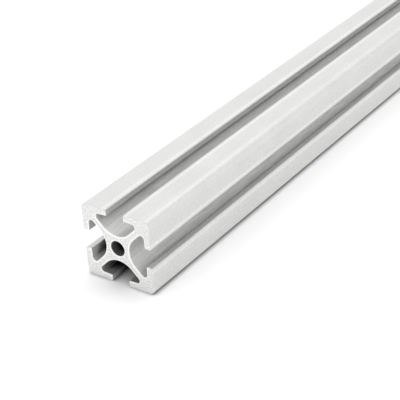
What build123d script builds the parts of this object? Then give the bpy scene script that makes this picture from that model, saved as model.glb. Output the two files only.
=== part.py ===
import math
import os

from build123d import *

# A one inch bar of aluminium extrusion, cut to a stock length and lying on one of its four like faces.
# It is a single piece: a round-bored core, four webs that run out along the diagonals, and four rounded
# corners whose lips leave a T-shaped slot open along the middle of every face.
# Millimetres. X is across the bar, Y along it and Z up, from the ground under the middle of the bar.

# Outside of the bar
side = 25.4
length = 304.8
corner_radius = 2.0

# Mouth of a slot, between two lips whose undersides fall away from it
slot_opening = 6.5
lip_thickness = 2.2
lip_underside_slope = 2.0
lip_outer_edge_radius = 0.4
lip_inner_edge_radius = 0.3

# Inside of a slot, between two webs
web_thickness = 2.2
slot_floor_radius = 6.7
pocket_corner_radius = 1.1

# Core
bore_diameter = 5.2

# Burr taken off the sawn ends
end_edge_break = 0.15

# A web stands astride a diagonal of the section, so its two sides cross the axes of the section this far out.
web_side_crossing = web_thickness / 2 * math.sqrt(2)
half_opening = slot_opening / 2
face_level = side / 2
lip_underside_level = face_level - lip_thickness

# The sharp corner of the pocket, where the underside of the lip meets the side of the web.
underside_fall = math.tan(math.radians(lip_underside_slope))
pocket_corner_x = (lip_underside_level + half_opening * underside_fall - web_side_crossing) / (1 + underside_fall)
pocket_corner_y = pocket_corner_x + web_side_crossing

# The slot's outline is carried this far past the face, and as far beyond the rounded edges of the lips.
overshoot = 2 * lip_outer_edge_radius

# One slot, open upwards: a V between the two webs, then the undersides and the ends of the two lips.
with BuildSketch() as slot:
    with BuildLine():
        Polyline(
            (0, web_side_crossing),
            (pocket_corner_x, pocket_corner_y),
            (half_opening, lip_underside_level),
            (half_opening, face_level),
            (half_opening + overshoot, face_level),
            (half_opening + overshoot, face_level + overshoot),
            (0, face_level + overshoot),
        )
        mirror(about=Plane.YZ)
    make_face()

    # The ends of the lips, each with an outer and an inner edge
    lip_ends = slot.vertices().filter_by_position(Axis.X, -half_opening, half_opening)
    fillet(lip_ends.filter_by_position(Axis.Y, face_level, face_level), lip_outer_edge_radius)
    fillet(lip_ends.filter_by_position(Axis.Y, lip_underside_level, lip_underside_level), lip_inner_edge_radius)

    # The V becomes a round floor that runs smoothly into the webs
    fillet(slot.vertices().sort_by(Axis.Y)[0], slot_floor_radius)
    across = slot.vertices().sort_by(Axis.X)
    fillet([across[0], across[-1]], pocket_corner_radius)

# The bar lies along Y with the centre of its section half a side above the ground.
section_plane = Plane(origin=(0, 0, side / 2), x_dir=(1, 0, 0), z_dir=(0, -1, 0))

with BuildPart() as t_slot_bar:
    with BuildSketch(section_plane):
        RectangleRounded(side, side, corner_radius)
        with PolarLocations(0, 4):
            add(slot.sketch, mode=Mode.SUBTRACT)
        Circle(bore_diameter / 2, mode=Mode.SUBTRACT)
    extrude(amount=length / 2, both=True)

    # Both sawn ends, every edge around the outline and the bore
    sawn_ends = t_slot_bar.faces().filter_by(Axis.Y)
    chamfer(sawn_ends.edges(), end_edge_break)

t_slot_bar.part.label = "t_slot_bar"

os.makedirs("parts", exist_ok=True)
export_step(t_slot_bar.part, "parts/t_slot_bar.step")
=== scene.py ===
import bmesh
import bpy
import math
from mathutils import Matrix, Vector


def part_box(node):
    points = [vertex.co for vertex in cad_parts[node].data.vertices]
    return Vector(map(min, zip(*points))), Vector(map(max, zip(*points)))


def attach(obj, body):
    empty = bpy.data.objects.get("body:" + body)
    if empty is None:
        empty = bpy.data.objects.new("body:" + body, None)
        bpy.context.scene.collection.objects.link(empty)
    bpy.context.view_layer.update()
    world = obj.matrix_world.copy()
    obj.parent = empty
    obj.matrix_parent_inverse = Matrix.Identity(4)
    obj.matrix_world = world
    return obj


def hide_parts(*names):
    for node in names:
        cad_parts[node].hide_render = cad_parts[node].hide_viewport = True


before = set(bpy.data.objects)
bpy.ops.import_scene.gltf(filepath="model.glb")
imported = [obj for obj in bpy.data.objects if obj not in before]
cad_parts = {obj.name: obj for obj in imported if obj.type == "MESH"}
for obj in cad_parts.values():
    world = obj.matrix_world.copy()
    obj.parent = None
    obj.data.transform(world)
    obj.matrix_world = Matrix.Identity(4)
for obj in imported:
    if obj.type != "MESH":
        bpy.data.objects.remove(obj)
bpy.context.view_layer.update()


# The camera: a long lens above the bar and off its near end, to the right, looking down along it.
# The picture is a square, and the far end of the bar runs out of it.
camera_place = Vector((0.2020, -0.3818, 0.2042))
camera_aim = Vector((0.0052, -0.1164, 0.0127))
camera_roll = math.radians(-3.85)
camera_lens = 108.1
camera_sensor = 36.0
camera_nearest = 0.01

camera_data = bpy.data.cameras.new("camera")
camera_data.lens = camera_lens
camera_data.sensor_width = camera_sensor
camera_data.clip_start = camera_nearest
camera = bpy.data.objects.new("camera", camera_data)
level_turn = (camera_aim - camera_place).to_track_quat("-Z", "Y").to_matrix().to_4x4()
camera_turn = level_turn @ Matrix.Rotation(camera_roll, 4, "Z")
camera.matrix_world = Matrix.Translation(camera_place) @ camera_turn
bpy.context.scene.collection.objects.link(camera)
bpy.context.scene.camera = camera


# The bar: one length of extruded aluminium, sawn to length and anodised clear.
# Four webs on the diagonals tie a bored core to four corners, and the corners' lips leave
# a T-shaped slot along every face. It is a single piece, with nothing fixed to it.
bar_low, bar_high = (Vector(bar_corner) for bar_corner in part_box("t_slot_bar"))
bar_middle = (bar_low + bar_high) / 2
half_side = (bar_high.x - bar_low.x) / 2
half_length = (bar_high.y - bar_low.y) / 2

corner_radius = 0.0020
slot_opening = 0.0065
lip_thickness = 0.0022
lip_underside_slope = math.radians(2.0)
lip_outer_edge_radius = 0.0004
lip_inner_edge_radius = 0.0003
web_thickness = 0.0022
slot_floor_radius = 0.0067
pocket_corner_radius = 0.0011
bore_radius = 0.0026
end_edge_break = 0.00015

# How many steps each arc is cut into; of the floor's and the corner's, half a slot takes half
floor_steps = 48
pocket_steps = 14
inner_edge_steps = 6
outer_edge_steps = 8
corner_steps = 20
bore_steps = 64

# A painted highlight, from 0 to 1, lies on the bar's corners and on a band of face beside each slot's
# mouth that starts, fades and ends at these distances from the rounded edge of the lip
corner_highlight = 0.1
corner_highlight_fades = 0.0010
mouth_highlight = 0.35
mouth_highlight_starts = 0.0005
mouth_highlight_fades = 0.0010
mouth_highlight_ends = 0.0016

# At the sawn ends the edges of the slots and the bore, where the burr was taken off, carry the
# brightest painted highlight.
end_highlight = 1.0
end_highlight_width = 0.00025


def rounded(before, point, after, radius, steps):
    """The points of the arc that rounds one corner of an outline."""
    back = (before - point).normalized()
    onward = (after - point).normalized()
    half_angle = back.angle(onward) / 2
    centre = point + (back + onward).normalized() * radius / math.sin(half_angle)
    tangent = radius / math.tan(half_angle)
    first = (point + back * tangent - centre).normalized()
    last = (point + onward * tangent - centre).normalized()
    return [centre + first.slerp(last, step / steps) * radius for step in range(steps + 1)]


# The corners of half a slot's outline, seen along the bar, before they are rounded
web_side = web_thickness / 2 * math.sqrt(2)
underside_fall = math.tan(lip_underside_slope)
lip_level = half_side - lip_thickness
pocket_x = (lip_level + slot_opening / 2 * underside_fall - web_side) / (1 + underside_fall)
valley = Vector((0, web_side))
far_web = Vector((-1, 1 + web_side))
pocket = Vector((pocket_x, pocket_x + web_side))
lip_inner = Vector((slot_opening / 2, lip_level))
lip_outer = Vector((slot_opening / 2, half_side))
corner = Vector((half_side, half_side))
next_lip = Vector((half_side, slot_opening / 2))

floor_arc = rounded(far_web, valley, pocket, slot_floor_radius, floor_steps)
pocket_arc = rounded(valley, pocket, lip_inner, pocket_corner_radius, pocket_steps)
inner_edge = rounded(pocket, lip_inner, lip_outer, lip_inner_edge_radius, inner_edge_steps)
outer_edge = rounded(lip_inner, lip_outer, corner, lip_outer_edge_radius, outer_edge_steps)
corner_arc = rounded(lip_outer, corner, next_lip, corner_radius, corner_steps)

# Each stretch from the middle of the floor to the middle of the bar's corner,
# with the strength of its painted highlight along the bar and at the bar's ends
stretches = (
    (floor_arc[floor_steps // 2:], 0, end_highlight),
    (pocket_arc, 0, end_highlight),
    (inner_edge, 0, end_highlight),
    (outer_edge, 0, 0),
    ([outer_edge[-1] + Vector((mouth_highlight_starts, 0))], mouth_highlight, 0),
    ([outer_edge[-1] + Vector((mouth_highlight_fades, 0))], mouth_highlight, 0),
    ([outer_edge[-1] + Vector((mouth_highlight_ends, 0))], 0, 0),
    ([corner_arc[0] - Vector((corner_highlight_fades, 0))], 0, 0),
    (corner_arc[:corner_steps // 2 + 1], corner_highlight, 0),
)
half_slot = [(point, *highlights) for points, *highlights in stretches for point in points]

# The other half of the corner is its mirror image, and the four quarters are alike.
next_half_slot = [(point.yx, *highlights) for point, *highlights in reversed(half_slot[:-1])]
outline = []
for quarter in range(4):
    turn = Matrix.Rotation(-quarter * math.pi / 2, 2)
    outline += [(turn @ point, *highlights) for point, *highlights in half_slot + next_half_slot[:-1]]
bore = []
for step in range(bore_steps):
    angle = math.tau * step / bore_steps
    bore.append((Vector((math.sin(angle), math.cos(angle))) * bore_radius, 0, end_highlight))


def set_back(loop, distance):
    """The same closed outline, moved square to itself into the metal (or, below zero, out of it)."""
    moved = []
    for index, (point, *highlights) in enumerate(loop):
        along = (loop[(index + 1) % len(loop)][0] - loop[index - 1][0]).normalized()
        moved.append((point + Vector((along.y, -along.x)) * distance, *highlights))
    return moved


def long_wall(mesh, painted_highlight, loop, end_loop):
    """The wall that an outline draws along the bar, with its end edges broken; returns those edges."""
    # Each station has its place along the bar, the outline there, and 1 at a sawn edge.
    stations = (
        (-half_length, end_loop, 1),
        (-half_length + end_edge_break, loop, 1),
        (-half_length + end_edge_break + end_highlight_width, loop, 0),
        (half_length - end_edge_break - end_highlight_width, loop, 0),
        (half_length - end_edge_break, loop, 1),
        (half_length, end_loop, 1),
    )
    rows = []
    for y, points, at_end in stations:
        row = []
        for point, highlight, highlight_at_end in points:
            vertex = mesh.verts.new(bar_middle + Vector((point.x, y, point.y)))
            vertex[painted_highlight] = max(highlight, highlight_at_end * at_end)
            row.append(vertex)
        rows.append(row)
    for row, next_row in zip(rows, rows[1:]):
        for index in range(len(row)):
            mesh.faces.new((row[index - 1], row[index], next_row[index], next_row[index - 1]))
    end_edges = []
    for row in (rows[0], rows[-1]):
        end_edges.append([mesh.edges.get((row[index - 1], row[index])) for index in range(len(row))])
    return end_edges


bar_shape = bmesh.new()
painted_highlight = bar_shape.verts.layers.float.new("painted_highlight")
outline_ends = long_wall(bar_shape, painted_highlight, outline, set_back(outline, end_edge_break))
bore_ends = long_wall(bar_shape, painted_highlight, bore, set_back(bore, -end_edge_break))
sawn_slot = 1
for outline_end, bore_end in zip(outline_ends, bore_ends):
    sawn_end = bmesh.ops.triangle_fill(bar_shape, edges=outline_end + bore_end, use_beauty=True)
    for face in sawn_end["geom"]:
        if isinstance(face, bmesh.types.BMFace):
            face.material_index = sawn_slot
bmesh.ops.recalc_face_normals(bar_shape, faces=bar_shape.faces)
for face in bar_shape.faces:
    face.smooth = True

sharpest_smooth_edge = math.radians(25)
bar_mesh = bpy.data.meshes.new("bar")
bar_shape.to_mesh(bar_mesh)
bar_shape.free()
bar_mesh.set_sharp_from_angle(angle=sharpest_smooth_edge)
bar = bpy.data.objects.new("extruded_bar", bar_mesh)
bpy.context.scene.collection.objects.link(bar)
even_shading = bar.modifiers.new("flat faces stay flat", "WEIGHTED_NORMAL")
even_shading.keep_sharp = True


def noise(finish, place, size, detail, stretch=(1, 1, 1)):
    """A grain of the given size in metres, drawn out along an axis by a stretch above 1."""
    space = finish.nodes.new("ShaderNodeMapping")
    space.inputs["Scale"].default_value = [1 / (size * factor) for factor in stretch]
    finish.links.new(place, space.inputs["Vector"])
    grain = finish.nodes.new("ShaderNodeTexNoise")
    grain.inputs["Scale"].default_value = 1.0
    grain.inputs["Detail"].default_value = detail
    finish.links.new(space.outputs["Vector"], grain.inputs["Vector"])
    return grain.outputs["Fac"]


def sum_of(finish, *parts):
    """Patterns added into one; each part is a pattern and its share."""
    total = None
    for pattern, share in parts:
        added = finish.nodes.new("ShaderNodeMath")
        added.operation = "MULTIPLY_ADD"
        finish.links.new(pattern, added.inputs[0])
        added.inputs[1].default_value = share
        added.inputs[2].default_value = 0
        if total is not None:
            finish.links.new(total, added.inputs[2])
        total = added.outputs[0]
    return total


def spread(finish, value, ends, new_ends):
    """A value's range, given by its two ends, drawn out to the range that the finish needs."""
    ranged = finish.nodes.new("ShaderNodeMapRange")
    finish.links.new(value, ranged.inputs["Value"])
    sockets = ("From Min", "From Max", "To Min", "To Max")
    for socket, end in zip(sockets, (*ends, *new_ends)):
        ranged.inputs[socket].default_value = end
    return ranged.outputs["Result"]


def tinted(finish, blend, share, first, second):
    """Two colours mixed; each is a colour or another node's output, and so is the share."""
    mixed = finish.nodes.new("ShaderNodeMix")
    mixed.data_type = "RGBA"
    mixed.blend_type = blend
    for socket, value in (("Factor", share), ("A", first), ("B", second)):
        if isinstance(value, bpy.types.NodeSocket):
            finish.links.new(value, mixed.inputs[socket])
        else:
            mixed.inputs[socket].default_value = value
    return mixed.outputs["Result"]


def raised(finish, height, strength, distance):
    """Relief too fine for the mesh."""
    bump = finish.nodes.new("ShaderNodeBump")
    bump.inputs["Strength"].default_value = strength
    bump.inputs["Distance"].default_value = distance
    finish.links.new(height, bump.inputs["Height"])
    return bump.outputs["Normal"]


def vector_step(finish, operation, place, other=None):
    """One step of arithmetic on a place, with another vector where the step needs one."""
    worked_out = finish.nodes.new("ShaderNodeVectorMath")
    worked_out.operation = operation
    finish.links.new(place, worked_out.inputs[0])
    if other is not None:
        worked_out.inputs[1].default_value = other
    return worked_out.outputs["Value" if operation == "LENGTH" else "Vector"]


def off_middle(finish, place):
    """How far a point is from the bar's middle line, square to the faces: half a side on any face."""
    distances = vector_step(finish, "ABSOLUTE", vector_step(finish, "SUBTRACT", place, bar_middle))
    axes = finish.nodes.new("ShaderNodeSeparateXYZ")
    finish.links.new(distances, axes.inputs[0])
    outermost = finish.nodes.new("ShaderNodeMath")
    outermost.operation = "MAXIMUM"
    finish.links.new(axes.outputs["X"], outermost.inputs[0])
    finish.links.new(axes.outputs["Z"], outermost.inputs[1])
    return outermost.outputs[0]


# The anodised skin: satin from the etch, with the die's fine lines along it, and a streaky tone lifted
# by painted light inside the slots.
# Where a slot is most shut in it is darkened by a painted shade, and its corners, mouths and sawn
# edges carry a painted highlight.
skin_colour = (0.71, 0.71, 0.70, 1)
# The bore's colour is a painted shade, dark for the shade deep inside the hole.
bore_shade_colour = (0.31, 0.31, 0.31, 1)
# The painted highlight's colour, on the corners, the mouths' bands and the slots' edges at the sawn
# ends
highlight_colour = (0.93, 0.93, 0.92, 1)
plain_tint = (1, 1, 1, 1)

# The painted shade in the slots' shut-in hollows: how far it looks for walls round it, between which
# openness it fades, and its darkest tone
painted_shade_reach = 0.02
painted_shade_openness = (0.10, 0.20)
painted_shade_tone = 0.08

# The grains: their size across the bar, how much longer they are along it, and their share
die_line_width = 0.0003
die_line_stretch = 160
die_line_share = 0.2
etch_grain = 0.0005
etch_share = 0.6
cloud_size = 0.012
cloud_share = 0.2
slot_line_width = 0.0006
slot_line_stretch = 14

# Most of a noise lies between these values; the tones and the roughness are what they turn into.
noise_ends = (0.3, 0.7)
skin_tones = (0.90, 1.10)
# Inside the slots the tone is lifted above the skin's: painted light, with the die's streaks running
# through it.
slot_lift_tones = (1.03, 1.21)
skin_roughness = (0.56, 0.64)

# The relief is the etch and the die's lines.
skin_relief = 0.00001
skin_relief_strength = 0.35
die_line_relief = 0.6
etch_relief = 1.0

anodised = bpy.data.materials.new("anodised_aluminium")
anodised.use_nodes = True
skin = anodised.node_tree
skin_metal = skin.nodes["Principled BSDF"]
skin_metal.inputs["Metallic"].default_value = 1.0
skin_place = skin.nodes.new("ShaderNodeTexCoord").outputs["Object"]

# The inside of the slots, and the bore
skin_depth = off_middle(skin, skin_place)
bore_wall = bore_radius + end_edge_break
in_slot = spread(skin, skin_depth, (lip_level, lip_level - lip_thickness), (0, 1))
in_bore = spread(skin, skin_depth, (bore_wall, bore_wall + end_edge_break), (1, 0))

# The patterns
die_lines = noise(skin, skin_place, die_line_width, detail=3, stretch=(1, die_line_stretch, 1))
slot_lines = noise(skin, skin_place, slot_line_width, detail=2, stretch=(1, slot_line_stretch, 1))
etch = noise(skin, skin_place, etch_grain, detail=2)
clouds = noise(skin, skin_place, cloud_size, detail=4)
mottle = sum_of(skin, (clouds, cloud_share), (etch, etch_share), (die_lines, die_line_share))
shade_probe = skin.nodes.new("ShaderNodeAmbientOcclusion")
shade_probe.inputs["Distance"].default_value = painted_shade_reach
edge_highlight = skin.nodes.new("ShaderNodeAttribute")
edge_highlight.attribute_name = "painted_highlight"

# The colour
# Inside the slots a lighter, streaky tone: the streaks are the die's lines, the lift is painted light.
slot_lift_tint = tinted(skin, "MIX", in_slot, plain_tint, spread(skin, slot_lines, noise_ends, slot_lift_tones))
# Inside the bore the colour turns to the painted shade.
skin_tint = tinted(skin, "MIX", in_bore, skin_colour, bore_shade_colour)
# The corners, the mouths' bands and the slots' edges at the sawn ends are lightened: a painted
# highlight.
skin_tint = tinted(skin, "MIX", edge_highlight.outputs["Fac"], skin_tint, highlight_colour)
# The slots' most shut-in hollows are darkened by a painted shade.
painted_shade = spread(skin, shade_probe.outputs["AO"], painted_shade_openness, (painted_shade_tone, 1))
skin_tint = tinted(skin, "MULTIPLY", 1, skin_tint, painted_shade)
skin_tint = tinted(skin, "MULTIPLY", 1, skin_tint, slot_lift_tint)
skin_tint = tinted(skin, "MULTIPLY", 1, skin_tint, spread(skin, mottle, noise_ends, skin_tones))
skin.links.new(skin_tint, skin_metal.inputs["Base Color"])

# The gloss and the relief
skin.links.new(spread(skin, mottle, noise_ends, skin_roughness), skin_metal.inputs["Roughness"])
skin_height = sum_of(skin, (etch, etch_relief), (die_lines, die_line_relief))
skin_normal = raised(skin, skin_height, skin_relief_strength, skin_relief)
skin.links.new(skin_normal, skin_metal.inputs["Normal"])
bar_mesh.materials.append(anodised)

# The sawn ends: bare metal with a bright speckle, crossed by the long shallow arcs of the blade.
# The rim along the slots and the bore, where the burr was taken off, carries a painted highlight.
sawn_colour = (0.76, 0.76, 0.755, 1)
rim_highlight_colour = (0.97, 0.97, 0.965, 1)
rim_highlight_width = 0.0007
rim_highlight_openness = (0.6, 1)

# Beside the faces the rim has no painted highlight: this far in from them, after which the highlight
# grows over the fade.
plain_rim = 0.0006
plain_rim_fade = 0.0008

# The blade and the marks: the middle of the blade, the width of a tooth's mark and of the speckle
blade_radius = 0.125
blade_centre = Vector((0.045, 0, -blade_radius))
tooth_mark = 0.00035
tooth_mark_share = 0.4
speckle_size = 0.0006
speckle_share = 0.6
mark_ends = (0.35, 0.65)
sawn_tones = (0.82, 1.17)
sawn_roughness = 0.6
sawn_relief = 0.00002
sawn_relief_strength = 0.5

sawn = bpy.data.materials.new("sawn_aluminium")
sawn.use_nodes = True
cut = sawn.node_tree
cut_metal = cut.nodes["Principled BSDF"]
cut_metal.inputs["Metallic"].default_value = 1.0
cut_metal.inputs["Roughness"].default_value = sawn_roughness
cut_place = cut.nodes.new("ShaderNodeTexCoord").outputs["Object"]

# The marks: rings round the blade's centre, seen square to the end, and the speckle
off_blade = vector_step(cut, "SUBTRACT", cut_place, blade_centre)
swing = vector_step(cut, "LENGTH", vector_step(cut, "MULTIPLY", off_blade, (1, 0, 1)))
ring = cut.nodes.new("ShaderNodeCombineXYZ")
cut.links.new(swing, ring.inputs["X"])
tooth_marks = noise(cut, ring.outputs[0], tooth_mark, detail=2)
speckle = noise(cut, cut_place, speckle_size, detail=3)
marks = sum_of(cut, (speckle, speckle_share), (tooth_marks, tooth_mark_share))

# The painted highlight's rim: where the metal behind the surface soon ends, apart from the strip
# beside the faces
near_edge = cut.nodes.new("ShaderNodeAmbientOcclusion")
near_edge.inside = True
near_edge.only_local = True
near_edge.inputs["Distance"].default_value = rim_highlight_width
rim_highlight = spread(cut, near_edge.outputs["AO"], rim_highlight_openness, (1, 0))
rim_level = half_side - plain_rim
by_faces = spread(cut, off_middle(cut, cut_place), (rim_level - plain_rim_fade, rim_level), (0, 1))

# The rim is lightened to the painted highlight's colour.
cut_tint = tinted(cut, "MIX", rim_highlight, sawn_colour, rim_highlight_colour)
cut_tint = tinted(cut, "MIX", by_faces, cut_tint, sawn_colour)
cut_tint = tinted(cut, "MULTIPLY", 1, cut_tint, spread(cut, marks, mark_ends, sawn_tones))
cut.links.new(cut_tint, cut_metal.inputs["Base Color"])
cut.links.new(raised(cut, marks, sawn_relief_strength, sawn_relief), cut_metal.inputs["Normal"])
bar_mesh.materials.append(sawn)

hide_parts("t_slot_bar")
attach(bar, "root")


# The table: one flat sheet of white paper, wide enough to fill every view,
# with the bar lying on it unheld.
table_size = 6.0
paper_colour = (1.0, 1.0, 1.0, 1)

# The paper's shade under the bar's corners, and the deeper one inside the slot that lies on it:
# how far a shade looks round, the openness at which it is full and at which it ends, and its tone
paper_shades = (
    (0.002, (0.5, 0.9), 0.70),
    (0.020, (0.1, 0.5), 0.60),
)

table_mesh = bpy.data.meshes.new("table_top")
table_shape = bmesh.new()
bmesh.ops.create_grid(table_shape, x_segments=1, y_segments=1, size=table_size / 2)
table_shape.to_mesh(table_mesh)
table_shape.free()
table = bpy.data.objects.new("table_top", table_mesh)
bpy.context.scene.collection.objects.link(table)

paper = bpy.data.materials.new("white_paper")
paper.use_nodes = True
sheet = paper.node_tree
sheet.nodes.remove(sheet.nodes["Principled BSDF"])
matte = sheet.nodes.new("ShaderNodeBsdfDiffuse")
paper_tint = paper_colour
for reach, openness, tone in paper_shades:
    shade_probe = sheet.nodes.new("ShaderNodeAmbientOcclusion")
    shade_probe.inputs["Distance"].default_value = reach
    shade = spread(sheet, shade_probe.outputs["AO"], openness, (tone, 1))
    paper_tint = tinted(sheet, "MULTIPLY", 1, paper_tint, shade)
sheet.links.new(paper_tint, matte.inputs["Color"])
sheet.links.new(matte.outputs["BSDF"], sheet.nodes["Material Output"].inputs["Surface"])
table_mesh.materials.append(paper)


# The light: a white tent all round, with a large soft lamp overhead that lifts the upper
# faces above the sides, and a weaker one low in front of the sawn end.
tent_colour = (1, 1, 1, 1)
tent_strength = 1.0

tent = bpy.data.worlds.new("white_tent")
tent.use_nodes = True
tent_cloth = tent.node_tree.nodes["Background"]
tent_cloth.inputs["Color"].default_value = tent_colour
tent_cloth.inputs["Strength"].default_value = tent_strength
bpy.context.scene.world = tent


def soft_lamp(name, place, size, power):
    """A square soft lamp that faces the bar's middle."""
    lamp_data = bpy.data.lights.new(name, "AREA")
    lamp_data.shape = "SQUARE"
    lamp_data.size = size
    lamp_data.energy = power
    lamp = bpy.data.objects.new(name, lamp_data)
    lamp.location = place
    lamp.rotation_euler = (bar_middle - Vector(place)).to_track_quat("-Z", "Y").to_euler()
    bpy.context.scene.collection.objects.link(lamp)


soft_lamp("lamp_over", place=(-0.05, 0.25, 1.05), size=0.80, power=2.4)
soft_lamp("lamp_front", place=(-0.35, -1.05, 0.35), size=0.60, power=0.90)

bpy.context.scene.view_settings.view_transform = "Standard"
